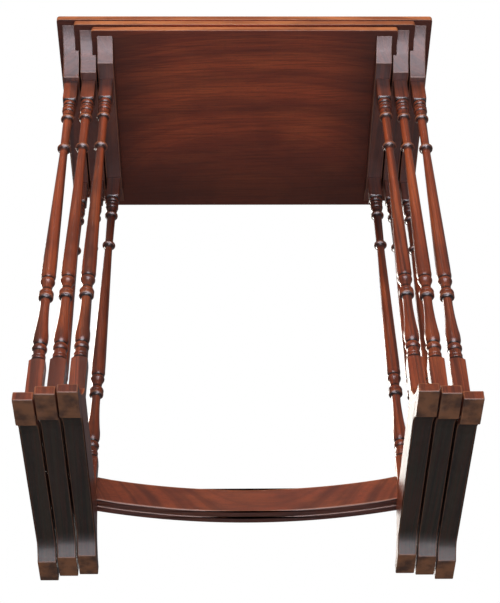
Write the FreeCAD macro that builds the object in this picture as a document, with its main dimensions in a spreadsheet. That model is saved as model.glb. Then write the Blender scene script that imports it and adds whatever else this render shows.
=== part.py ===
import FreeCAD, Part
import math, os
import Sketcher

os.makedirs("parts", exist_ok=True)
doc = FreeCAD.newDocument("nest_of_tables")
sheet = doc.addObject("Spreadsheet::Sheet", "Sizes")


class Size:
    """A length known both as a number and as an expression on the sheet."""

    def __init__(self, number, text):
        self.number, self.text = number, text

    def join(self, other, sign, result):
        text = other.text if isinstance(other, Size) else repr(other)
        return Size(result, "(" + self.text + sign + text + ")")

    def __add__(self, o):
        return self.join(o, " + ", self.number + num(o))

    def __sub__(self, o):
        return self.join(o, " - ", self.number - num(o))

    def __mul__(self, o):
        return self.join(o, " * ", self.number * num(o))

    def __truediv__(self, o):
        return self.join(o, " / ", self.number / num(o))

    def __neg__(self):
        return Size(-self.number, "(0 - " + self.text + ")")


def num(v):
    return v.number if isinstance(v, Size) else float(v)


def txt(v):
    return v.text if isinstance(v, Size) else repr(float(v))


def root(v):
    return Size(math.sqrt(v.number), "sqrt(" + v.text + ")")


row = 0


def size(alias, number):
    global row
    row += 1
    sheet.set("A%d" % row, str(number))
    sheet.setAlias("A%d" % row, alias)
    return Size(float(number), "Sizes." + alias)


# Overall: the largest table, and how each smaller one steps inside it.
width = size("width", 530)
height = size("height", 705)
nest_step = size("nest_step", 25)
top_thick = size("top_thick", 9.5)
top_gap = size("top_gap", 2)
drop = top_thick + top_gap
corner = size("top_corner", 4)
edge_round = size("top_edge_round", 1.2)

# Bearers under the top, one each side, with bracket ends.
bearer_wide = size("bearer_wide", 22.6)
bearer_drop = size("bearer_drop", 41.8)
bearer_setback = size("bearer_setback", 8.8)
bearer_past_leg = size("bearer_past_leg", 3)
rebate_deep = size("rebate_deep", 5.4)
run_clear = size("run_clear", 1)
rear_radius = size("rear_bracket_radius", 60)

# Sled feet.
foot_high = size("foot_high", 57)
foot_wide = size("foot_wide", 23)
foot_long = size("foot_long", 342)
toe_thick = size("toe_thick", 12)
toe_run = size("toe_run", 58)
heel_run = size("heel_run", 66)
swell = size("foot_swell_radius", 80)
arch_high = size("arch_high", 15)
arch_run = size("arch_run", 34)
pad_front = size("pad_front", 43)
pad_rear = size("pad_rear", 39)

# Legs: square ends, turned between, round tenons at both ends.
leg_inset = size("leg_inset", 18.5)
leg_square = size("leg_square", 19)
block_low = size("block_low", 60.5)
block_high = size("block_high", 40.2)
tenon_round = size("tenon_round", 10)
tenon_up = size("tenon_up", 12)
tenon_down = size("tenon_down", 25)
glue_gap = size("glue_gap", 0.1)
turn_span = size("turn_span", 596.7)

# Bowed stretchers, one behind another.
board_thick = size("board_thick", 11)
board_high = size("board_high", 35)
board_gap = size("board_gap", 1.7)
board_bow = size("board_bow", 26)
board_front = size("board_behind_axis", 3)
board_lift = size("board_lift", 1)
board_raise = size("board_raise_large", 12)
board_bevel = size("board_bevel", 1.5)
stub_thick = size("stub_thick", 4)
stub_shoulder = size("stub_shoulder", 0.5)
stub_high = size("stub_high", 24)
stub_long = size("stub_long", 6)

# Each table: steps in from the largest, where its parts lie front to back, its bracket curves.
plans = {
    "large": dict(step=0, top=0, depth=332, toe=15, front=85, rear=274.5, run=59.5, curve=75),
    "middle": dict(step=1, top=0, depth=329, toe=5.5, front=83, rear=269.5, run=51.2, curve=70),
    "small": dict(step=2, top=2, depth=325, toe=2, front=81, rear=264.5, run=33.2, curve=50),
}
for who, plan in plans.items():
    for key in ("top", "depth", "toe", "front", "rear", "run", "curve"):
        plan[key] = size(who + "_" + key, plan[key])

# The turning, from the foot upward: height above the foot, radius, and the radius of the curve
# leading to the next point (0 straight, + bulging out, - hollow).
turning = [
    (-25, 5, 0), (0, 5, 0), (0, 8.4, 0), (61.5, 8.4, 0), (62.5, 8.1, 0), (65, 8, 2.5), (68, 8, 0),
    (69.3, 8, 2.5), (72.3, 8, 0), (73.5, 7.7, 0), (79, 7.6, 0), (79.5, 8, 6.25), (87, 8, 0),
    (87.3, 6.6, 0), (89, 6.6, 0), (89.5, 7, 14), (98, 9.15, 60), (110, 8.5, -480), (158, 5.7, 0),
    (166.5, 5.9, 0), (168.2, 6.6, 0), (168.5, 8.9, 0), (169.3, 9.25, 0), (173.2, 9.25, 0),
    (173.8, 8.7, 0), (174.4, 8.9, 4), (178, 8.9, 0), (179.5, 8.3, 0), (181, 6.6, 0), (184, 6.2, 0),
    (186.5, 6.4, -20), (195, 8.8, 0), (195.3, 8.8, 4.5), (199, 8.8, 0), (199.3, 8, 0), (201.5, 7.8, 0),
    (202, 8, 16), (211, 9.2, 0), (226, 9.2, 0), (441, 5.4, 0), (450, 5.4, 0), (452.5, 6.2, 0),
    (454.8, 7.3, 0), (455.2, 8.9, 2.8), (458.4, 8.9, 0), (459, 7.2, 0), (462, 6.4, 0), (466, 5.7, 0),
    (476, 5.75, 0), (514, 6.1, 0), (517, 6.8, 0), (518.6, 7.6, 0), (519, 9.1, 4), (522.6, 9.1, 0),
    (523, 7.3, 0), (525, 7, -20), (533, 8.3, 0), (533.6, 7.6, 0), (534.6, 7.5, 0), (535.2, 8.2, 5.2),
    (541.6, 8.2, 0), (542.2, 8.3, 2.8), (546.4, 8.3, 0), (547, 7.4, 0), (549.5, 7.3, 0), (550, 8.2, 5),
    (556, 8.2, 0), (556.6, 7.9, 0), (557.5, 8.4, 0), (596.7, 8.4, 0), (596.7, 5, 0), (608.7, 5, 0),
]
turning = [
    (size("turn_height_%02d" % i, z), size("turn_radius_%02d" % i, r), size("turn_curve_%02d" % i, abs(c)), c)
    for i, (z, r, c) in enumerate(turning)
]
doc.recompute()

half_square = leg_square / 2
front_edge = -(plans["large"]["toe"] + foot_long) / 2
leg_top = height - top_thick - bearer_drop
leg_long = leg_top - foot_high


def bodyAt(name, x, y, z):
    body = doc.addObject("PartDesign::Body", name)
    body.Label = name
    for axis, value in (("x", x), ("y", y), ("z", z)):
        body.setExpression("Placement.Base." + axis, txt(value))
    return body


def sketchOn(body, name, role, lift=None):
    sketch = body.newObject("Sketcher::SketchObject", body.Name + "_" + name)
    plane = [f for f in body.Origin.OriginFeatures if f.Role == role][0]
    sketch.AttachmentSupport = [(plane, "")]
    sketch.MapMode = "FlatFace"
    if lift is not None:
        sketch.setExpression("AttachmentOffset.Base.z", txt(lift))
    return sketch


def bind(sketch, constraint, value):
    index = sketch.addConstraint(constraint)
    sketch.setExpression("Constraints[%d]" % index, txt(value))


def arcBetween(a, b, radius, side):
    dx, dy = b[0] - a[0], b[1] - a[1]
    chord = math.hypot(dx, dy)
    sag = radius - math.sqrt(max(radius * radius - chord * chord / 4, 0))
    mid = ((a[0] + b[0]) / 2 + side * sag * dy / chord, (a[1] + b[1]) / 2 - side * sag * dx / chord)
    return Part.Arc(*[FreeCAD.Vector(p[0], p[1], 0) for p in (a, mid, b)])


def outline(sketch, corners):
    """Closed outline: (x, y) corners, or (x, y, radius, side) where an arc leads to the next."""
    count = len(corners)
    pts = [(num(c[0]), num(c[1])) for c in corners]
    joints = []
    for i, c in enumerate(corners):
        a, b = pts[i], pts[(i + 1) % count]
        if len(c) == 2:
            sketch.addGeometry(Part.LineSegment(FreeCAD.Vector(*a, 0), FreeCAD.Vector(*b, 0)))
            joints.append((1, 2))
        else:
            sketch.addGeometry(arcBetween(a, b, num(c[2]), c[3]))
            start = sketch.getPoint(i, 1)
            same = math.hypot(start.x - a[0], start.y - a[1]) < 1e-6
            joints.append((1, 2) if same else (2, 1))
    for i, c in enumerate(corners):
        after = (i + 1) % count
        sketch.addConstraint(Sketcher.Constraint("Coincident", i, joints[i][1], after, joints[after][0]))
        bind(sketch, Sketcher.Constraint("DistanceX", -1, 1, i, joints[i][0], pts[i][0]), c[0])
        bind(sketch, Sketcher.Constraint("DistanceY", -1, 1, i, joints[i][0], pts[i][1]), c[1])
        if len(c) > 2:
            bind(sketch, Sketcher.Constraint("Radius", i, num(c[2])), c[2])


def rectangle(sketch, x0, y0, x1, y1):
    outline(sketch, [(x0, y0), (x1, y0), (x1, y1), (x0, y1)])


def circle(sketch, x, y, radius):
    centre = FreeCAD.Vector(num(x), num(y), 0)
    index = sketch.addGeometry(Part.Circle(centre, FreeCAD.Vector(0, 0, 1), num(radius)))
    bind(sketch, Sketcher.Constraint("Radius", index, num(radius)), radius)
    bind(sketch, Sketcher.Constraint("DistanceX", -1, 1, index, 3, num(x)), x)
    bind(sketch, Sketcher.Constraint("DistanceY", -1, 1, index, 3, num(y)), y)


def pad(body, sketch, length):
    feature = body.newObject("PartDesign::Pad", sketch.Name + "_pad")
    feature.Profile = sketch
    feature.setExpression("Length", txt(length))
    sketch.Visibility = False
    doc.recompute()
    body.Tip = feature
    return feature


def cut(body, sketch, depth):
    before = body.Shape.Volume
    feature = body.newObject("PartDesign::Pocket", sketch.Name + "_cut")
    feature.Profile = sketch
    feature.setExpression("Length", txt(depth))
    doc.recompute()
    if body.Shape.isNull() or before - body.Shape.Volume < 1e-3:
        feature.Reversed = True
        doc.recompute()
    return feature


def eased(body, feature, kind, amount, wanted):
    """Rounds (Fillet) or bevels (Chamfer) the edges of a feature for which wanted(edge) is true."""
    names = ["Edge%d" % (i + 1) for i, e in enumerate(feature.Shape.Edges) if wanted(e)]
    easing = body.newObject("PartDesign::" + kind, body.Name + "_eased")
    easing.Base = (feature, names)
    easing.setExpression("Radius" if kind == "Fillet" else "Size", txt(amount))
    doc.recompute()
    return easing


def makeTop(who, plan, half):
    under = height - top_thick - drop * plan["step"]
    body = bodyAt(who + "_top", 0, front_edge + plan["top"], under)
    sketch = sketchOn(body, "plan", "XY_Plane")
    w, d, r = half, plan["depth"], corner
    outline(sketch, [
        (-w + r, 0.0), (w - r, 0.0, r, 1), (w, r), (w, d - r, r, 1),
        (w - r, d), (-w + r, d, r, 1), (-w, d - r), (-w, r, r, 1)])
    slab = pad(body, sketch, top_thick)
    flat = lambda e: abs(e.BoundBox.ZLength) < 1e-4
    eased(body, slab, "Fillet", edge_round, flat)


def makeBearer(who, plan, axis_x, side, name):
    """Front to back rail: square top, bracket ends, rebate for the next smaller top."""
    low = -(bearer_drop - drop * plan["step"])
    body = bodyAt(who + "_bearer_" + name, axis_x * side - bearer_wide / 2, front_edge,
                  height - top_thick - drop * plan["step"])
    sketch = sketchOn(body, "side", "YZ_Plane")
    start = plan["top"] + bearer_setback
    end = plan["top"] + plan["depth"] - bearer_setback
    tail = plan["rear"] + half_square + bearer_past_leg
    outline(sketch, [
        (start, 0.0, plan["curve"], -1), (start + plan["run"], low), (tail, low, rear_radius, -1), (end, 0.0)])
    pad(body, sketch, bearer_wide)
    if who != "small":
        groove = sketchOn(body, "rebate", "XZ_Plane")
        if side < 0:
            x0, x1 = bearer_wide - rebate_deep, bearer_wide
        else:
            x0, x1 = 0.0, rebate_deep
        rectangle(groove, x0, -(drop + run_clear), x1, 0.0)
        cut(body, groove, plan["depth"])
    holes = sketchOn(body, "tenon_holes", "XY_Plane", low)
    for y in (plan["front"], plan["rear"]):
        circle(holes, bearer_wide / 2, y, tenon_round / 2 + glue_gap)
    cut(body, holes, tenon_up + glue_gap)


def makeFoot(who, plan, axis_x, side, name):
    """Sled foot: pads at both ends, arch between, swept toe and heel."""
    body = bodyAt(who + "_foot_" + name, axis_x * side - foot_wide / 2, front_edge + plan["toe"], 0)
    sketch = sketchOn(body, "side", "YZ_Plane")
    arch = (arch_run * arch_run + arch_high * arch_high) / (arch_high * 2)
    outline(sketch, [
        (0.0, 0.0), (pad_front, 0.0, arch, -1), (pad_front + arch_run, arch_high),
        (foot_long - pad_rear - arch_run, arch_high, arch, -1), (foot_long - pad_rear, 0.0),
        (foot_long, 0.0), (foot_long, toe_thick, swell, -1), (foot_long - heel_run, foot_high),
        (toe_run, foot_high, swell, -1), (0.0, toe_thick)])
    pad(body, sketch, foot_wide)
    holes = sketchOn(body, "tenon_holes", "XY_Plane", foot_high)
    for y in (plan["front"], plan["rear"]):
        circle(holes, foot_wide / 2, y - plan["toe"], tenon_round / 2 + glue_gap)
    cut(body, holes, tenon_down + glue_gap)


def boardCurve(plan, half_span):
    """Front radius of a stretcher and where it meets its legs; all bows share one centre."""
    small = plans["small"]
    span = width / 2 - nest_step * small["step"] - leg_inset - half_square
    base = (span * span + board_bow * board_bow) / (board_bow * 2)
    radius = base + (board_thick + board_gap) * (small["step"] - plan["step"])
    centre = small["rear"] + board_front + board_bow - base
    return radius, centre, root(radius * radius - half_span * half_span)


def boardLow(plan):
    low = foot_high + board_lift
    return low + board_raise if plan["step"] == 0 else low


def makeLeg(who, plan, axis_x, side, row_name, name):
    body = bodyAt(who + "_leg_" + row_name + "_" + name, axis_x * side,
                  front_edge + plan[row_name], foot_high)
    stretch = leg_long / turn_span
    profile = sketchOn(body, "turning", "XZ_Plane")
    corners = [(0.0, -tenon_down)]
    for z, r, radius, curve in turning:
        at = (r, z * stretch)
        corners.append(at + (radius, 1 if curve > 0 else -1) if curve else at)
    corners.append((0.0, leg_long + tenon_up))
    corners[1] = (tenon_round / 2, -tenon_down)
    corners[2] = (tenon_round / 2, 0.0)
    corners[-3] = (tenon_round / 2, leg_long)
    corners[-2] = (tenon_round / 2, leg_long + tenon_up)
    outline(profile, corners)
    spin = body.newObject("PartDesign::Revolution", body.Name + "_turned")
    spin.Profile = profile
    spin.ReferenceAxis = (profile, ["V_Axis"])
    spin.Angle = 360
    doc.recompute()
    body.Tip = spin
    h = half_square
    lower = sketchOn(body, "foot_block", "XY_Plane")
    rectangle(lower, -h, -h, h, h)
    pad(body, lower, block_low * stretch)
    upper = sketchOn(body, "bearer_block", "XY_Plane", leg_long - block_high * stretch)
    rectangle(upper, -h, -h, h, h)
    pad(body, upper, block_high * stretch)
    if row_name == "rear":
        half_span = axis_x - h
        radius, centre, end = boardCurve(plan, half_span)
        y0 = centre + end + stub_shoulder - plan["rear"] - glue_gap
        z0 = boardLow(plan) - foot_high + (board_high - stub_high) / 2 - glue_gap
        mortise = sketchOn(body, "mortise", "XZ_Plane", -y0)
        x0, x1 = (-h, -h + stub_long + glue_gap) if side > 0 else (h - stub_long - glue_gap, h)
        rectangle(mortise, x0, z0, x1, z0 + stub_high + glue_gap * 2)
        cut(body, mortise, stub_thick + glue_gap * 2)


def makeStretcher(who, plan, axis_x):
    half_span = axis_x - half_square
    radius, centre, end = boardCurve(plan, half_span)
    back = radius + board_thick
    far = root(back * back - half_span * half_span)
    body = bodyAt(who + "_stretcher", 0, front_edge + centre, boardLow(plan))
    sketch = sketchOn(body, "plan", "XY_Plane")
    outline(sketch, [
        (-half_span, end, radius, -1), (half_span, end), (half_span, far, back, 1), (-half_span, far)])
    board = pad(body, sketch, board_high)
    bowed = lambda e: hasattr(e.Curve, "Radius") and e.BoundBox.XLength > 10
    eased(body, board, "Chamfer", board_bevel, bowed)
    stubs = sketchOn(body, "stubs", "XY_Plane", (board_high - stub_high) / 2)
    for s in (-1, 1):
        x0, x1 = half_span * s, (half_span + stub_long) * s
        first = stubs.GeometryCount
        near = end + stub_shoulder
        pts = [(x0, near), (x1, near), (x1, near + stub_thick), (x0, near + stub_thick)]
        for i in range(4):
            a, b = pts[i], pts[(i + 1) % 4]
            stubs.addGeometry(Part.LineSegment(
                FreeCAD.Vector(num(a[0]), num(a[1]), 0), FreeCAD.Vector(num(b[0]), num(b[1]), 0)))
        for i in range(4):
            stubs.addConstraint(Sketcher.Constraint("Coincident", first + i, 2, first + (i + 1) % 4, 1))
            bind(stubs, Sketcher.Constraint("DistanceX", -1, 1, first + i, 1, num(pts[i][0])), pts[i][0])
            bind(stubs, Sketcher.Constraint("DistanceY", -1, 1, first + i, 1, num(pts[i][1])), pts[i][1])
    pad(body, stubs, stub_high)


for who, plan in plans.items():
    half = width / 2 - nest_step * plan["step"]
    axis_x = half - leg_inset
    makeTop(who, plan, half)
    for side, name in ((-1, "left"), (1, "right")):
        makeBearer(who, plan, axis_x, side, name)
        makeFoot(who, plan, axis_x, side, name)
        for row_name in ("front", "rear"):
            makeLeg(who, plan, axis_x, side, row_name, name)
    makeStretcher(who, plan, axis_x)

doc.recompute()
bodies = [o for o in doc.Objects if o.TypeId == "PartDesign::Body"]
for o in doc.Objects:
    if "Invalid" in o.State or "Error" in o.State:
        raise SystemExit("%s does not build: %s" % (o.Label, o.State))
for b in bodies:
    if b.Shape.isNull() or not b.Shape.isValid() or len(b.Shape.Solids) != 1:
        raise SystemExit(b.Label + " is not one valid solid")
    b.Shape.exportStep("parts/" + b.Label + ".step")
    box = b.Shape.BoundBox
    print("%-26s x %7.1f %7.1f  y %7.1f %7.1f  z %7.1f %7.1f  %8.0f mm3" % (
        b.Label, box.XMin, box.XMax, box.YMin, box.YMax, box.ZMin, box.ZMax, b.Shape.Volume))
print(len(bodies), "pieces")
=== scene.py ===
import math
import bpy
import numpy as np
from mathutils import Matrix, Vector
from mathutils.geometry import tessellate_polygon


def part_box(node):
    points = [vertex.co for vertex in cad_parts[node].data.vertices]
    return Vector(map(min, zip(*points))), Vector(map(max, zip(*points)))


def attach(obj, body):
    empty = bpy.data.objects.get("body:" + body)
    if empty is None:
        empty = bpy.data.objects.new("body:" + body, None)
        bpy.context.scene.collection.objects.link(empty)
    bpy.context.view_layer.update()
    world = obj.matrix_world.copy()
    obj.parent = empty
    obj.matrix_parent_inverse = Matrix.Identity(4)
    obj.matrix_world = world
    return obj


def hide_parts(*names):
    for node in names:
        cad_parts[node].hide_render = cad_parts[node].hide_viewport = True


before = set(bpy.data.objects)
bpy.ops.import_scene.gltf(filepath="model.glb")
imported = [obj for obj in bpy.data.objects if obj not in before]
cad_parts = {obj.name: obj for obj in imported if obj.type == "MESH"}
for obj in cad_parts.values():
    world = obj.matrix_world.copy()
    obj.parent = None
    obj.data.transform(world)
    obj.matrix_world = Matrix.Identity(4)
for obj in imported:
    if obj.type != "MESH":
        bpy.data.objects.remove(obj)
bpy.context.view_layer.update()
mm = 0.001
tables = ["large", "middle", "small"]
sides = ["left", "right"]


def arcPoints(a, b, radius, side, step):
    # points from a towards b on a circle through both; side 1 or -1 says which way it bulges
    a, b = np.array(a, float), np.array(b, float)
    chord = b - a
    length = np.hypot(*chord)
    across = np.array([chord[1], -chord[0]]) / length * side
    centre = (a + b) / 2 - across * math.sqrt(radius ** 2 - length ** 2 / 4)
    start, end = a - centre, b - centre
    sweep = math.atan2(start[0] * end[1] - start[1] * end[0], start @ end)
    count = max(3, int(math.ceil(abs(sweep) * radius / step)))
    angle = math.atan2(start[1], start[0]) + sweep * np.arange(count) / count
    return centre + radius * np.stack([np.cos(angle), np.sin(angle)], -1)


def tracedOutline(corners, step):
    # corners are (x, y), or (x, y, radius, side) where an arc leads to the next one
    parts = []
    for i, c in enumerate(corners):
        after = corners[(i + 1) % len(corners)]
        straight = len(c) == 2
        parts.append(np.array([c[:2]]) if straight else arcPoints(c[:2], after[:2], c[2], c[3], step))
    return np.concatenate(parts)


def easedCorners(points, radius, flat):
    # each corner sharper than 12 degrees becomes a short curve, with a quiet point a little before and
    # after it; the second result is 1 on those curves and 0 elsewhere
    before, after = np.roll(points, 1, 0), np.roll(points, -1, 0)
    inward, outward = points - before, after - points
    inward = inward / np.linalg.norm(inward, axis=1, keepdims=True)
    outward = outward / np.linalg.norm(outward, axis=1, keepdims=True)
    turn = np.degrees(np.arccos(np.clip((inward * outward).sum(1), -1, 1)))
    t = np.array([0, 0.25, 0.5, 0.75, 1])[:, None]
    made, worn = [], []
    for p, d1, d2, sharp in zip(points, inward, outward, turn > 12):
        if not sharp:
            made.append(p[None])
            worn.append([0.0])
            continue
        start, end = p - d1 * radius, p + d2 * radius
        curve = start * (1 - t) ** 2 + p * 2 * t * (1 - t) + end * t ** 2
        made.append(np.concatenate([[start - d1 * flat], curve, [end + d2 * flat]]))
        worn.append([0.0, 0.8, 1.0, 1.0, 1.0, 0.8, 0.0])
    return np.concatenate(made), np.concatenate(worn)


def inwardNormals(points):
    # mitred inward direction at each point of a counterclockwise outline
    before, after = np.roll(points, 1, 0), np.roll(points, -1, 0)
    n1, n2 = points - before, after - points
    n1, n2 = np.stack([-n1[:, 1], n1[:, 0]], -1), np.stack([-n2[:, 1], n2[:, 0]], -1)
    n1 = n1 / np.linalg.norm(n1, axis=1, keepdims=True)
    n2 = n2 / np.linalg.norm(n2, axis=1, keepdims=True)
    return (n1 + n2) / np.maximum(1 + (n1 * n2).sum(1, keepdims=True), 0.6)


def outlineTriangles(points):
    # the outline's own triangles, counterclockwise; the same numbers then fill any ring drawn in from it
    triangles = np.array(tessellate_polygon([[Vector((p[0], p[1], 0)) for p in points]]))
    a, b, c = (points[triangles[:, k]] for k in range(3))
    area = (b - a)[:, 0] * (c - a)[:, 1] - (b - a)[:, 1] * (c - a)[:, 0]
    return triangles if area.sum() > 0 else triangles[:, ::-1]


def sawnBoard(corners, low, high, plan, axes):
    # A board sawn to an outline: ring j is the outline drawn in by inset(j) at depth(j) across the board,
    # and inset and depth follow a quarter circle of the arris radius beside each face.
    # plan: arris on the low and on the high face, calm (how much further in the first ring on a face lies),
    # ease and quiet of the outline's own corners, step along its arcs.
    # axes: which of x, y, z the outline's two directions and the depth are.
    points, cornerWear = easedCorners(tracedOutline(corners, plan["step"]), plan["ease"], plan["quiet"])
    normals = inwardNormals(points)
    angle = np.radians([0, 22.5, 45, 67.5, 90])
    inset, depth, wear, onFace = [], [], [], []
    for arris, mirror in ((plan["arrisLow"], False), (plan["arrisHigh"], True)):
        quarter = [(arris * (1 - math.sin(a)), arris * (1 - math.cos(a)), 1.0, False) for a in angle]
        if arris == 0:
            quarter = [(0.0, 0.0, 0.0, True)]
        rows = [(arris + plan["calm"], 0, 0, True), (arris + plan["calm"] / 3, 0, 0.1, True)] + quarter
        rows.append((0.0, arris + 1.6 * mm, 0.1, False))
        for r in (reversed(rows) if mirror else rows):
            inset.append(r[0])
            depth.append(high - r[1] if mirror else low + r[1])
            wear.append(r[2])
            onFace.append(r[3])
    inset, depth, wear = np.array(inset), np.array(depth), np.array(wear)
    flat = points[None] + normals[None] * inset[:, None, None]
    rings = np.zeros(flat.shape[:2] + (3,))
    rings[..., axes[0]], rings[..., axes[1]] = flat[..., 0], flat[..., 1]
    rings[..., axes[2]] = depth[:, None]
    wear = np.maximum(wear[:, None], cornerWear[None] * (inset < plan["quiet"])[:, None])
    onFace = np.repeat(np.array(onFace)[:, None], len(points), 1)
    facing = np.repeat(-normals[None], len(inset), 0)
    return dict(rings=rings, wear=wear, grooveGrimeAndShade=wear * 0, onFace=onFace, facing=facing,
                fill=outlineTriangles(points))


def squareRadius(angle, half, corner):
    # distance from the centre to a square with rounded corners, at an angle from the middle of a face
    folded = np.abs((angle + math.pi / 4) % (math.pi / 2) - math.pi / 4)
    flat = half / np.cos(folded)
    c = half - corner
    towards = c * (np.cos(folded) + np.sin(folded))
    rounded = towards + np.sqrt(np.maximum(towards ** 2 - 2 * c * c + corner ** 2, 0))
    return np.where(flat * np.sin(folded) > c, rounded, flat)


def smoothed(values, spread):
    widest = int(3 * spread) + 1
    reach = np.arange(-widest, widest + 1)
    kernel = np.exp(-0.5 * (reach / spread) ** 2)
    padded = np.pad(values, len(reach) // 2, mode="edge")
    return np.convolve(padded, kernel / kernel.sum(), mode="valid")


def turnedBar(axis, low, high, plan):
    # A square bar turned between centres: at height z and angle a the surface stands at the smaller of
    # the square bar's radius and the turning's radius. The turning is straight runs and arcs between
    # (height, radius) points; a last softening takes the tool's sharpness off.
    stretch = (high - low) / (plan["turning"][-1][0] * mm)
    trace = []
    for (z0, r0, bend), (z1, r1, _) in zip(plan["turning"], plan["turning"][1:]):
        if bend:
            trace.append(arcPoints((r0, z0), (r1, z1), abs(bend), 1 if bend > 0 else -1, 0.3))
        else:
            trace.append(np.array([(r0, z0)]))
    trace = np.concatenate(trace + [np.array([plan["turning"][-1][1::-1]])])
    fineZ = np.arange(0, trace[-1, 1], plan["fineStep"])
    fineR = np.interp(fineZ, trace[:, 1] + np.arange(len(trace)) * 1e-6, trace[:, 0])
    fineR = smoothed(fineR, plan["polish"])
    broad = smoothed(fineR, plan["reliefSpread"])
    relief = (fineR - broad) / plan["reliefDepth"]
    busy = np.zeros(len(fineZ), bool)
    for start, end in plan["busy"]:
        busy |= (fineZ >= start) & (fineZ <= end)
    keep = busy | (np.arange(len(fineZ)) % plan["plainEvery"] == 0)
    keep[[0, -1]] = True
    z, r, relief = fineZ[keep], fineR[keep], relief[keep]
    offsets = np.radians(plan["angles"])
    quadrant = np.concatenate([math.pi / 4 + offsets, [math.pi / 2]])
    angle = np.concatenate([quadrant + k * math.pi / 2 for k in range(4)])
    bar = squareRadius(angle, plan["half"], plan["corner"])
    radius = np.minimum(bar[None], r[:, None]) * mm
    rings = np.stack([
        axis[0] + radius * np.cos(angle), axis[1] + radius * np.sin(angle),
        np.repeat((low + z * mm * stretch)[:, None], len(angle), 1)], -1)
    rings[-1, :, 2] = high
    square = bar[None] < r[:, None]
    sharpness = np.clip((bar / plan["half"] - 1.2) / 0.2, 0, 1) ** 2
    wear = np.where(square, sharpness[None], np.clip(relief, 0, 1)[:, None])
    # dark in the grooves: gathered polish, with painted shade in the colour as well
    grooveGrimeAndShade = np.where(square, 0, np.clip(-relief, 0, 1)[:, None])
    return dict(rings=rings, wear=wear, grooveGrimeAndShade=grooveGrimeAndShade, onFace=np.zeros(rings.shape[:2], bool),
                facing=np.zeros(rings.shape[:2] + (2,)))


def putPiece(name, shells, extras, finishes, secondFinish=None):
    # joins the rings of each shell by quads and closes its ends; extras are more values kept on the points
    points, faces, smooth, second = [], [], [], []
    values = {"wear": [], "grooveGrimeAndShade": []}
    base = 0
    for shell in shells:
        rings = shell["rings"]
        count, around = rings.shape[:2]
        index = np.arange(count * around).reshape(count, around)
        after = np.roll(index, -1, 1)
        quads = np.stack([index[:-1], after[:-1], after[1:], index[1:]], -1).reshape(-1, 4)
        flat = rings.reshape(-1, 3)
        middle = flat.mean(0)
        a, b, c, d = (flat[quads[:, k]] - middle for k in range(4))
        volume = (a * np.cross(b, c)).sum() + (a * np.cross(c, d)).sum()
        fill = shell.get("fill", np.arange(around)[None])
        caps = [face[::-1] for face in index[0][fill]] + list(index[-1][fill])
        if volume < 0:
            quads, caps = quads[:, ::-1], [face[::-1] for face in caps]
        faces += (quads + base).tolist() + [(c + base).tolist() for c in caps]
        still = shell["onFace"].reshape(-1)[quads].sum(1) > 1
        smooth += (~still).tolist() + [False] * len(caps)
        picked = secondFinish(shell, quads) if secondFinish else np.zeros(len(quads) + 2, bool)
        picked = np.concatenate([picked[:-2], np.repeat(picked[-2:], len(caps) // 2)])
        second += picked.astype(int).tolist()
        points.append(flat)
        for key in values:
            values[key].append(shell[key].reshape(-1))
        base += len(flat)
    points = np.concatenate(points)
    mesh = bpy.data.meshes.new(name)
    mesh.from_pydata(points.tolist(), [], faces)
    mesh.polygons.foreach_set("use_smooth", smooth)
    mesh.polygons.foreach_set("material_index", second)
    values = {key: np.concatenate(v) for key, v in values.items()}
    values.update(extras(points) if extras else {})
    for key, v in values.items():
        layer = mesh.attributes.new(key, "FLOAT", "POINT")
        layer.data.foreach_set("value", np.asarray(v, np.float32))
    for finish in finishes:
        mesh.materials.append(finish)
    mesh.update()
    piece = bpy.data.objects.new(name, mesh)
    bpy.context.scene.collection.objects.link(piece)
    return piece


def timberValue(seed):
    # each piece is cut from its own stretch of timber
    return lambda points: {"timber": np.full(len(points), seed)}


class Nodes:
    # short hand for wiring a material: n("Type", settings, socket=value or another node's output)
    def __init__(self, name):
        self.material = bpy.data.materials.new(name)
        self.material.use_nodes = True
        self.tree = self.material.node_tree
        self.tree.nodes.clear()

    def wire(self, socket, value):
        if isinstance(value, bpy.types.NodeSocket):
            self.tree.links.new(value, socket)
        else:
            socket.default_value = value

    def add(self, kind, settings=None, sockets=None):
        made = self.tree.nodes.new("ShaderNode" + kind)
        for key, value in (settings or {}).items():
            setattr(made, key, value)
        for key, value in (sockets or {}).items():
            self.wire(made.inputs[key], value)
        return made

    def calc(self, operation, a, b=0.0, c=0.0, clamp=False):
        return self.add("Math", {"operation": operation, "use_clamp": clamp}, {0: a, 1: b, 2: c}).outputs[0]

    def mix(self, factor, a, b, blend="MIX"):
        kind = {"data_type": "RGBA", "blend_type": blend}
        return self.add("Mix", kind, {0: factor, 6: a, 7: b}).outputs[2]

    def between(self, value, low, high, first=0.0, last=1.0):
        return self.add("MapRange", {"interpolation_type": "SMOOTHSTEP"},
                        {0: value, 1: low, 2: high, 3: first, 4: last}).outputs[0]

    def noise(self, vector, scale, detail=3.0, rough=0.55, dimensions="3D"):
        where = {"W": vector} if dimensions == "1D" else {"Vector": vector}
        sockets = {**where, "Scale": scale, "Detail": detail, "Roughness": rough}
        return self.add("TexNoise", {"noise_dimensions": dimensions}, sockets).outputs[0]

    def attribute(self, name):
        return self.add("Attribute", {"attribute_name": name}).outputs["Fac"]

    def scaled(self, x, y, z, sx, sy, sz):
        return self.add("CombineXYZ", None, {
            0: self.calc("MULTIPLY", x, sx), 1: self.calc("MULTIPLY", y, sy),
            2: self.calc("MULTIPLY", z, sz)}).outputs[0]


def colour(r, g, b):
    return (r, g, b, 1.0)


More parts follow.
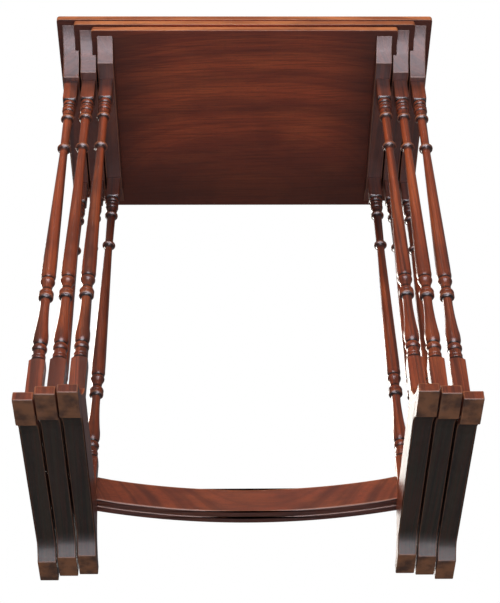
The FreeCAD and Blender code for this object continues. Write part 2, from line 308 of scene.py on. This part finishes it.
def timber(n, look):
    # returns the wood's colour, its pores, its streaks and the plain coordinates:
    # growth layers are the distance from a heart line, wandering a little, read by an uneven one-way noise
    place = n.add("TexCoord").outputs["Object"]
    seed = n.attribute("timber")
    xyz = n.add("SeparateXYZ", None, {0: place}).outputs
    order = {"x": (0, 1, 2), "y": (1, 0, 2), "z": (2, 0, 1)}[look["grain"]]
    along = n.calc("ADD", xyz[order[0]], n.calc("MULTIPLY", seed, 0.71))
    crossA = n.calc("ADD", xyz[order[1]], n.calc("MULTIPLY", seed, look["seedShift"]))
    crossB = xyz[order[2]]
    crossA = n.calc("ADD", crossA, n.calc("MULTIPLY", along, look["slope"]))
    drift = n.noise(n.scaled(along, crossA, crossB, 2.2, 9, 9), 1.0, 2)
    drift = n.calc("MULTIPLY", n.calc("SUBTRACT", drift, 0.5), look["drift"])
    a = n.calc("SUBTRACT", crossA, look["heart"][0])
    bend = n.calc("MULTIPLY", n.calc("MULTIPLY", xyz[order[0]], xyz[order[0]]), look["bend"])
    b = n.calc("ADD", n.calc("SUBTRACT", crossB, look["heart"][1]), bend)
    ring = n.calc("SQRT", n.calc("ADD", n.calc("MULTIPLY", a, a), n.calc("MULTIPLY", b, b)))
    ring = n.calc("ADD", ring, drift)
    broad = n.noise(ring, look["broad"], 3, 0.6, "1D")
    fine = n.noise(ring, look["fine"], 2, 0.6, "1D")
    mottle = n.noise(n.scaled(along, crossA, crossB, 9, 26, 26), 1.0, 3)
    streak = n.noise(n.scaled(along, crossA, crossB, 14, 420, 420), 1.0, 3, 0.65)
    pores = n.noise(n.scaled(along, crossA, crossB, 130, 2400, 2400), 1.0, 2, 0.5)
    pores = n.between(pores, 0.56, 0.7)
    tone = n.mix(n.between(broad, 0.36, 0.62), look["dark"], look["middle"])
    tone = n.mix(n.calc("MULTIPLY", n.between(mottle, 0.42, 0.72), look["glow"]), tone, look["light"])
    tone = n.mix(n.calc("MULTIPLY", n.between(fine, 0.5, 0.68), look["lines"]), tone, look["dark"])
    tone = n.mix(n.calc("MULTIPLY", n.between(streak, 0.42, 0.66), look["streaks"]), tone, look["streak"])
    tone = n.mix(n.calc("MULTIPLY", pores, look["pores"]), tone, look["poreTone"])
    return dict(tone=tone, pores=pores, streak=streak, place=place, xyz=xyz,
                along=along, crossA=crossA, crossB=crossB)


def polishedWood(name, look):
    # french polish over dyed mahogany: rubbed light on the arrises, dark in the grooves where polish
    # gathers, darkened further there as painted shade
    n = Nodes(name)
    w = timber(n, look)
    scuff = n.noise(w["place"], 170, 4, 0.7)
    rubbed = n.between(n.calc("ADD", n.attribute("wear"), n.calc("MULTIPLY", scuff, 0.9)), 0.95, 1.5)
    tone = n.mix(n.calc("MULTIPLY", rubbed, look["rub"]), w["tone"], look["rubTone"])
    # grooves darkened to near black: gathered polish and painted shade
    polishAndShadeMask = n.between(n.calc("ADD", n.attribute("grooveGrimeAndShade"), n.calc("MULTIPLY", scuff, 0.3)), 0.2, 0.62)
    tone = n.mix(n.calc("MULTIPLY", polishAndShadeMask, look["gatheredPolishAndShade"]), tone, look["gatheredPolishShadeTone"])
    clouds = n.noise(w["place"], 13, 3, 0.6)
    tone = n.mix(n.calc("MULTIPLY", n.between(clouds, 0.5, 0.75), look["cloud"]), tone, look["cloudTone"])
    # painted shade: the underside is darker toward its sides beside the bearers, and darker toward the rear
    aside = n.between(n.calc("ABSOLUTE", w["xyz"][0]), 0.09, 0.21)
    behind = n.between(w["xyz"][1], 0.0, 0.13)
    sideShadeRearAmount = n.calc("MULTIPLY", n.calc("MAXIMUM", aside, behind), look["sideShadeRearDark"])
    tone = n.mix(sideShadeRearAmount, tone, look["sideShadeRearTone"])
    bare = n.calc("MULTIPLY", n.attribute("pad"), look["pad"])
    blotch = n.mix(n.between(n.noise(w["place"], 48, 3, 0.5), 0.36, 0.7), look["padTone"], look["padStain"])
    tone = n.mix(bare, tone, blotch)
    uneven = n.calc("MULTIPLY", n.calc("SUBTRACT", scuff, 0.5), look["roughVary"])
    rough = n.calc("ADD", look["rough"], uneven)
    rough = n.calc("ADD", rough, n.calc("MULTIPLY", rubbed, 0.08), clamp=True)
    ripple = n.noise(n.scaled(w["along"], w["crossA"], w["crossB"], 30, 110, 110), 1.0, 2)
    raised = n.calc("MULTIPLY", w["streak"], look["grainRise"])
    height = n.calc("ADD", n.calc("MULTIPLY", ripple, look["ripple"]), raised)
    height = n.calc("SUBTRACT", height, n.calc("MULTIPLY", w["pores"], look["poreDepth"]))
    bump = n.add("Bump", None, {"Strength": 1.0, "Distance": 0.001, "Height": height}).outputs[0]
    surface = n.add("BsdfPrincipled", None, {
        "Base Color": tone, "Roughness": rough, "Normal": bump, "Coat Weight": look["coat"],
        "Coat Roughness": look["coatRough"], "Specular IOR Level": look["specular"]})
    out = n.add("OutputMaterial")
    n.tree.links.new(surface.outputs[0], out.inputs[0])
    return n.material


mahogany = dict(
    grain="x", seedShift=0.37, slope=0.03, heart=(0.12, -0.02), bend=0.22, drift=0.006,
    broad=95.0, fine=420.0, glow=0.5, lines=0.5, streaks=0.4, pores=0.45,
    dark=colour(0.11, 0.026, 0.013), middle=colour(0.27, 0.055, 0.020), light=colour(0.42, 0.10, 0.030),
    streak=colour(0.13, 0.03, 0.015), poreTone=colour(0.035, 0.011, 0.007),
    # the gathered tone is near black: gathered polish with painted shade in the grooves
    rub=0.45, rubTone=colour(0.50, 0.19, 0.08), gatheredPolishAndShade=0.9, gatheredPolishShadeTone=colour(0.02, 0.009, 0.007),
    cloud=0.35, cloudTone=colour(0.07, 0.02, 0.014),
    rough=0.42, roughVary=0.2, ripple=0.12, grainRise=0.04, poreDepth=0.06,
    coat=0.3, coatRough=0.2, specular=0.35,
    sideShadeRearDark=0.0, sideShadeRearTone=colour(0.10, 0.030, 0.018),
    pad=0.0, padTone=colour(0.50, 0.20, 0.085), padStain=colour(0.15, 0.065, 0.035))

finishes = {
    "top": polishedWood("mahogany top", {
        **mahogany, "dark": colour(0.27, 0.075, 0.03), "streak": colour(0.30, 0.085, 0.035),
        "middle": colour(0.50, 0.16, 0.06), "light": colour(0.72, 0.26, 0.09)}),
    "topUnder": polishedWood("mahogany underside", {
        **mahogany, "coat": 0.0, "specular": 0.15, "rough": 0.55, "rub": 0.0,
        "dark": colour(0.40, 0.070, 0.030), "middle": colour(0.72, 0.13, 0.045),
        "light": colour(0.86, 0.20, 0.062),
        # darker toward the sides, as painted shade beside the bearers, and toward the rear
        "glow": 0.35, "cloud": 0.15, "sideShadeRearDark": 0.78}),
    "bearer": polishedWood("mahogany bearer", {
        **mahogany, "grain": "y", "bend": 0.0, "coat": 0.4, "specular": 0.42}),
    "leg": polishedWood("mahogany turning", {
        **mahogany, "grain": "z", "bend": 0.0,
        "middle": colour(0.34, 0.065, 0.022), "light": colour(0.52, 0.12, 0.034),
        "coat": 0.7, "coatRough": 0.2, "specular": 0.5, "rough": 0.34}),
    "foot": polishedWood("mahogany foot", {**mahogany, "grain": "y", "bend": 0.0}),
    "sole": polishedWood("mahogany sole", {
        **mahogany, "grain": "y", "bend": 0.0, "coat": 0.12, "specular": 0.25,
        "dark": colour(0.030, 0.025, 0.016), "middle": colour(0.065, 0.048, 0.028),
        "light": colour(0.08, 0.05, 0.03), "pad": 1.0}),
    "stretcher": polishedWood("mahogany stretcher", {**mahogany, "bend": 0.0}),
}
print("finishes made")


topPlan = dict(arrisLow=1.2 * mm, arrisHigh=1.2 * mm, calm=2.4 * mm, ease=0.8 * mm,
               quiet=1.5 * mm, step=0.8 * mm, corner=4 * mm)


def buildTop(table):
    low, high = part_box(table + "_top")
    r = topPlan["corner"]
    outline = [
        (low.x + r, low.y), (high.x - r, low.y, r, 1), (high.x, low.y + r), (high.x, high.y - r, r, 1),
        (high.x - r, high.y), (low.x + r, high.y, r, 1), (low.x, high.y - r), (low.x, low.y + r, r, 1)]
    shell = sawnBoard(outline, low.z, high.z, topPlan, (0, 1, 2))

    def underside(shell, quads):
        z = shell["rings"][..., 2].reshape(-1)[quads].mean(1)
        below = z < low.z + 0.3 * mm
        return np.concatenate([below, [True, False]])

    return putPiece(table + "_top_board", [shell], timberValue(2.6 - tables.index(table) * 1.3),
                    [finishes["top"], finishes["topUnder"]], underside)


bearerPlan = dict(calm=0.6 * mm, arrisLow=0.9 * mm, arrisHigh=0.9 * mm, ease=1.0 * mm,
                  quiet=1.5 * mm, step=4 * mm,
                  frontRun=dict(large=59.5 * mm, middle=51.2 * mm, small=33.2 * mm),
                  frontRadius=dict(large=75 * mm, middle=70 * mm, small=50 * mm),
                  rearRadius=60 * mm, pastLeg=3 * mm, rebate=5.4 * mm, clear=1 * mm, lap=0.2 * mm)


def bearerOutline(low, high, tail, run, frontRadius, rearRadius, top):
    # the front bracket, flat underside and rear bracket, cut off level at height top
    front = arcPoints((low.y, high.z), (low.y + run, low.z), frontRadius, -1, bearerPlan["step"])
    rear = arcPoints((tail, low.z), (high.y, high.z), rearRadius, -1, bearerPlan["step"])
    front = np.concatenate([front, [[low.y + run, low.z]]])
    rear = np.concatenate([rear, [[high.y, high.z]]])
    first = np.interp(-top, -front[:, 1], front[:, 0])
    last = np.interp(top, rear[:, 1], rear[:, 0])
    lower = lambda p: p[p[:, 1] < top - 3 * mm]
    return [(first, top)] + lower(front).tolist() + lower(rear).tolist() + [(last, top)]


def buildBearer(table, side):
    name = table + "_bearer_" + side
    low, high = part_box(name)
    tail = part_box(table + "_leg_rear_" + side)[1].y + bearerPlan["pastLeg"]
    p = bearerPlan
    shape = (tail, p["frontRun"][table], p["frontRadius"][table], p["rearRadius"])
    full = bearerOutline(low, high, *shape, high.z)
    if table == "small":
        shells = [sawnBoard(full, low.x, high.x, bearerPlan, (1, 2, 0))]
    else:
        inner = tables[tables.index(table) + 1]
        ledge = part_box(inner + "_top")[0].z - bearerPlan["clear"]
        short = bearerOutline(low, high, *shape, ledge)
        outerPlan = {**bearerPlan, ("arrisHigh" if side == "left" else "arrisLow"): 0.0}
        innerPlan = {**bearerPlan, ("arrisLow" if side == "left" else "arrisHigh"): 0.0}
        if side == "left":
            step = high.x - bearerPlan["rebate"]
            spans = [(full, low.x, step, outerPlan), (short, step - bearerPlan["lap"], high.x, innerPlan)]
        else:
            step = low.x + bearerPlan["rebate"]
            spans = [(full, step, high.x, outerPlan), (short, low.x, step + bearerPlan["lap"], innerPlan)]
        shells = [sawnBoard(outline, a, b, plan, (1, 2, 0)) for outline, a, b, plan in spans]
    seed = tables.index(table) * 0.9 + sides.index(side) * 0.45
    return putPiece(name + "_shaped", shells, timberValue(seed), [finishes["bearer"]])


footPlan = dict(calm=0.6 * mm, arrisLow=1.1 * mm, arrisHigh=1.1 * mm, ease=1.2 * mm,
                quiet=1.5 * mm, step=4 * mm,
                padFront=43 * mm, padRear=39 * mm, archHigh=15 * mm, archRun=34 * mm,
                toeThick=12 * mm, toeRun=58 * mm, heelRun=66 * mm, swell=80 * mm)


def buildFoot(table, side):
    name = table + "_foot_" + side
    low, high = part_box(name)
    p = footPlan
    arch = (p["archRun"] ** 2 + p["archHigh"] ** 2) / (2 * p["archHigh"])
    z, y0, y1 = low.z, low.y, high.y
    outline = [
        (y0, z), (y0 + p["padFront"], z, arch, -1), (y0 + p["padFront"] + p["archRun"], z + p["archHigh"]),
        (y1 - p["padRear"] - p["archRun"], z + p["archHigh"], arch, -1), (y1 - p["padRear"], z),
        (y1, z), (y1, z + p["toeThick"], p["swell"], -1), (y1 - p["heelRun"], high.z),
        (y0 + p["toeRun"], high.z, p["swell"], -1), (y0, z + p["toeThick"])]
    shell = sawnBoard(outline, low.x, high.x, p, (1, 2, 0))

    def extras(points):
        pad = (points[:, 2] < z + 0.8 * mm) * 1.0
        seed = tables.index(table) * 1.7 + sides.index(side) * 0.6
        return {"pad": pad, "timber": np.full(len(points), seed)}

    def underside(shell, quads):
        down = shell["facing"][..., 1].reshape(-1)[quads].mean(1) < -0.55
        onSide = shell["onFace"].reshape(-1)[quads].sum(1) > 1
        return np.concatenate([down & ~onSide, [False, False]])

    return putPiece(name + "_sawn", [shell], extras, [finishes["foot"], finishes["sole"]], underside)


stretcherPlan = dict(calm=0.6 * mm, arrisLow=1.5 * mm, arrisHigh=1.5 * mm, ease=0.4 * mm,
                     quiet=0.5 * mm, step=5 * mm, thick=11 * mm)


def buildStretcher(table):
    low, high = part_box(table + "_stretcher")
    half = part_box(table + "_leg_rear_right")[0].x
    bow = high.y - stretcherPlan["thick"] - low.y
    radius = (half ** 2 + bow ** 2) / (2 * bow)
    back = radius + stretcherPlan["thick"]
    centre = low.y + bow - radius
    far = centre + math.sqrt(back ** 2 - half ** 2)
    outline = [(-half, low.y, radius, -1), (half, low.y), (half, far, back, 1), (-half, far)]
    shell = sawnBoard(outline, low.z, high.z, stretcherPlan, (0, 1, 2))
    return putPiece(table + "_stretcher_bowed", [shell], timberValue(tables.index(table) * 0.8),
                    [finishes["stretcher"]])


legPlan = dict(
    half=9.5, corner=0.9, fineStep=0.4, plainEvery=16, polish=0.6, reliefSpread=6, reliefDepth=0.9,
    busy=[(50, 116), (154, 230), (442, 471), (510, 565)],
    angles=[-35, -26, -19, -13, -8, -4.5, -2.6, -1.2, 0, 1.2, 2.6, 4.5, 8, 13, 19, 26, 35],
    # in millimetres: height above the foot, radius, and the radius of the curve to the next point
    # (+ full, - hollow)
    turning=[
        (0, 14, 0), (54, 14, 7), (61, 8.6, 0), (61.5, 8.4, 0), (62.5, 8.1, 0), (65, 8, 2.5), (68, 8, 0),
        (69.3, 8, 2.5), (72.3, 8, 0), (73.5, 7.7, 0), (79, 7.6, 0), (79.5, 8, 6.25), (87, 8, 0),
        (87.3, 6.6, 0), (89, 6.6, 0), (89.5, 7, 14), (98, 9.15, 60), (110, 8.5, -480), (158, 5.7, 0),
        (166.5, 5.9, 0), (168.2, 6.6, 0), (168.5, 8.9, 0), (169.3, 9.25, 0), (173.2, 9.25, 0),
        (173.8, 8.7, 0), (174.4, 8.9, 4), (178, 8.9, 0), (179.5, 8.3, 0), (181, 6.6, 0), (184, 6.2, 0),
        (186.5, 6.4, -20), (195, 8.8, 0), (195.3, 8.8, 4.5), (199, 8.8, 0), (199.3, 8, 0),
        (201.5, 7.8, 0), (202, 8, 16), (211, 9.2, 0), (226, 9.2, 0), (441, 5.4, 0), (450, 5.4, 0),
        (452.5, 6.2, 0), (454.8, 7.3, 0), (455.2, 8.9, 2.8), (458.4, 8.9, 0), (459, 7.2, 0),
        (462, 6.4, 0), (466, 5.7, 0), (476, 5.75, 0), (514, 6.1, 0), (517, 6.8, 0), (518.6, 7.6, 0),
        (519, 9.1, 4), (522.6, 9.1, 0), (523, 7.3, 0), (525, 7, -20), (533, 8.3, 0), (533.6, 7.6, 0),
        (534.6, 7.5, 0), (535.2, 8.2, 5.2), (541.6, 8.2, 0), (542.2, 8.3, 2.8), (546.4, 8.3, 0),
        (547, 7.4, 0), (549.5, 7.3, 0), (550, 8.2, 5), (556, 8.2, 0), (556.6, 7.9, 0), (557.5, 8.8, 5.5),
        (561.5, 14, 0), (596.7, 14, 0)])


def buildLeg(table, row, side):
    name = table + "_leg_" + row + "_" + side
    low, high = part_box(name)
    axis = ((low.x + high.x) / 2, (low.y + high.y) / 2)
    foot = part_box(table + "_foot_" + side)[1].z
    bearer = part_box(table + "_bearer_" + side)[0].z
    shell = turnedBar(axis, foot, bearer, legPlan)
    seed = tables.index(table) * 0.83 + sides.index(side) * 0.41 + (0.2 if row == "rear" else 0)
    return putPiece(name + "_turned", [shell], timberValue(seed), [finishes["leg"]])


def settle(piece, node, table):
    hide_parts(node)
    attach(piece, table + "_table")


for table in tables:
    settle(buildTop(table), table + "_top", table)
    settle(buildStretcher(table), table + "_stretcher", table)
    for side in sides:
        settle(buildBearer(table, side), table + "_bearer_" + side, table)
        settle(buildFoot(table, side), table + "_foot_" + side, table)
        for row in ("front", "rear"):
            settle(buildLeg(table, row, side), table + "_leg_" + row + "_" + side, table)
    print(table, "table made")


cameraPlan = dict(aim=(0.0054, 0.0039, 0.3175), away=1.9824, lift=44.88, turn=0.86, roll=-0.70, lens=89.87)


def aimed(obj, position, target, roll=0.0):
    # -Z looks at the target, +Y up, then a roll about the line of sight
    back = (Vector(position) - Vector(target)).normalized()
    right = Vector((0, 0, 1)).cross(back).normalized()
    up = back.cross(right)
    turn = Matrix((right, up, back)).transposed() @ Matrix.Rotation(math.radians(roll), 3, "Z")
    obj.matrix_world = Matrix.Translation(position) @ turn.to_4x4()


def placeCamera():
    p = cameraPlan
    lift, turn = math.radians(p["lift"]), math.radians(p["turn"])
    sight = Vector((math.sin(turn) * math.cos(lift), math.cos(turn) * math.cos(lift), math.sin(lift)))
    camera = bpy.data.objects.new("camera", bpy.data.cameras.new("camera"))
    bpy.context.scene.collection.objects.link(camera)
    camera.data.lens = p["lens"]
    camera.data.sensor_width = 36
    aimed(camera, Vector(p["aim"]) - sight * p["away"], p["aim"], p["roll"])
    bpy.context.scene.camera = camera


panels = {
    "key": dict(at=(-0.5, -2.3, 2.3), size=(1.6, 1.2), power=104,
                tint=(1.0, 0.97, 0.93), diffuse=True, glossy=False),
    "sheen": dict(at=(0.1, -2.5, -0.9), size=(2.2, 3.4), power=140,
                tint=(0.9, 0.9, 1.0), diffuse=False, glossy=True),
    "below": dict(at=(0.0, -0.7, -2.3), size=(2.4, 2.1), power=112,
                tint=(0.91, 0.9, 1.0), diffuse=False, glossy=True),
    "back": dict(at=(-1.3, 2.4, 2.2), size=(1.4, 1.2), power=60,
                tint=(1.0, 0.97, 0.9), diffuse=True, glossy=True),
}


def placeLights():
    for name, p in panels.items():
        light = bpy.data.lights.new(name, "AREA")
        light.shape = "RECTANGLE"
        light.size, light.size_y = p["size"]
        light.energy, light.color = p["power"], p["tint"]
        lamp = bpy.data.objects.new(name, light)
        bpy.context.scene.collection.objects.link(lamp)
        aimed(lamp, p["at"], (0, 0, 0.33))
        lamp.visible_diffuse = p["diffuse"]
        lamp.visible_glossy = p["glossy"]
        lamp.visible_camera = False


def placeSurroundings():
    world = bpy.data.worlds.new("studio")
    bpy.context.scene.world = world
    world.use_nodes = True
    tree = world.node_tree
    plain = tree.nodes["Background"]
    plain.inputs[0].default_value, plain.inputs[1].default_value = colour(0.97, 0.98, 1.0), 0.22
    seen = tree.nodes.new("ShaderNodeBackground")
    seen.inputs[0].default_value, seen.inputs[1].default_value = colour(1, 1, 1), 1.0
    path = tree.nodes.new("ShaderNodeLightPath")
    dim = tree.nodes.new("ShaderNodeBackground")
    dim.inputs[0].default_value, dim.inputs[1].default_value = colour(0.97, 0.95, 1.0), 0.12
    shine = tree.nodes.new("ShaderNodeMixShader")
    tree.links.new(path.outputs["Is Glossy Ray"], shine.inputs[0])
    tree.links.new(plain.outputs[0], shine.inputs[1])
    tree.links.new(dim.outputs[0], shine.inputs[2])
    mix = tree.nodes.new("ShaderNodeMixShader")
    tree.links.new(path.outputs["Is Camera Ray"], mix.inputs[0])
    tree.links.new(shine.outputs[0], mix.inputs[1])
    tree.links.new(seen.outputs[0], mix.inputs[2])
    tree.links.new(mix.outputs[0], tree.nodes["World Output"].inputs[0])


def placeFloor():
    # pale and one sided, so that it is clear from below
    n = Nodes("floor")
    matt = n.add("BsdfDiffuse", None, {0: colour(0.2, 0.2, 0.2)}).outputs[0]
    lit = n.add("Emission", None, {0: colour(0.95, 0.95, 0.94), 1: 0.85}).outputs[0]
    paper = n.add("AddShader", None, {0: matt, 1: lit})
    clear = n.add("BsdfTransparent")
    side = n.add("NewGeometry").outputs["Backfacing"]
    mix = n.add("MixShader", None, {0: side, 1: paper.outputs[0], 2: clear.outputs[0]})
    n.tree.links.new(mix.outputs[0], n.add("OutputMaterial").inputs[0])
    mesh = bpy.data.meshes.new("floor")
    mesh.from_pydata([(-60, -60, 0), (60, -60, 0), (60, 60, 0), (-60, 60, 0)], [], [(0, 1, 2, 3)])
    mesh.materials.append(n.material)
    floor = bpy.data.objects.new("floor", mesh)
    bpy.context.scene.collection.objects.link(floor)
    floor.visible_shadow = False
    floor.visible_glossy = False
    floor.visible_diffuse = False


placeCamera()
placeLights()
placeSurroundings()
placeFloor()
bpy.context.scene.view_settings.view_transform = "Standard"
print("camera and lights placed")
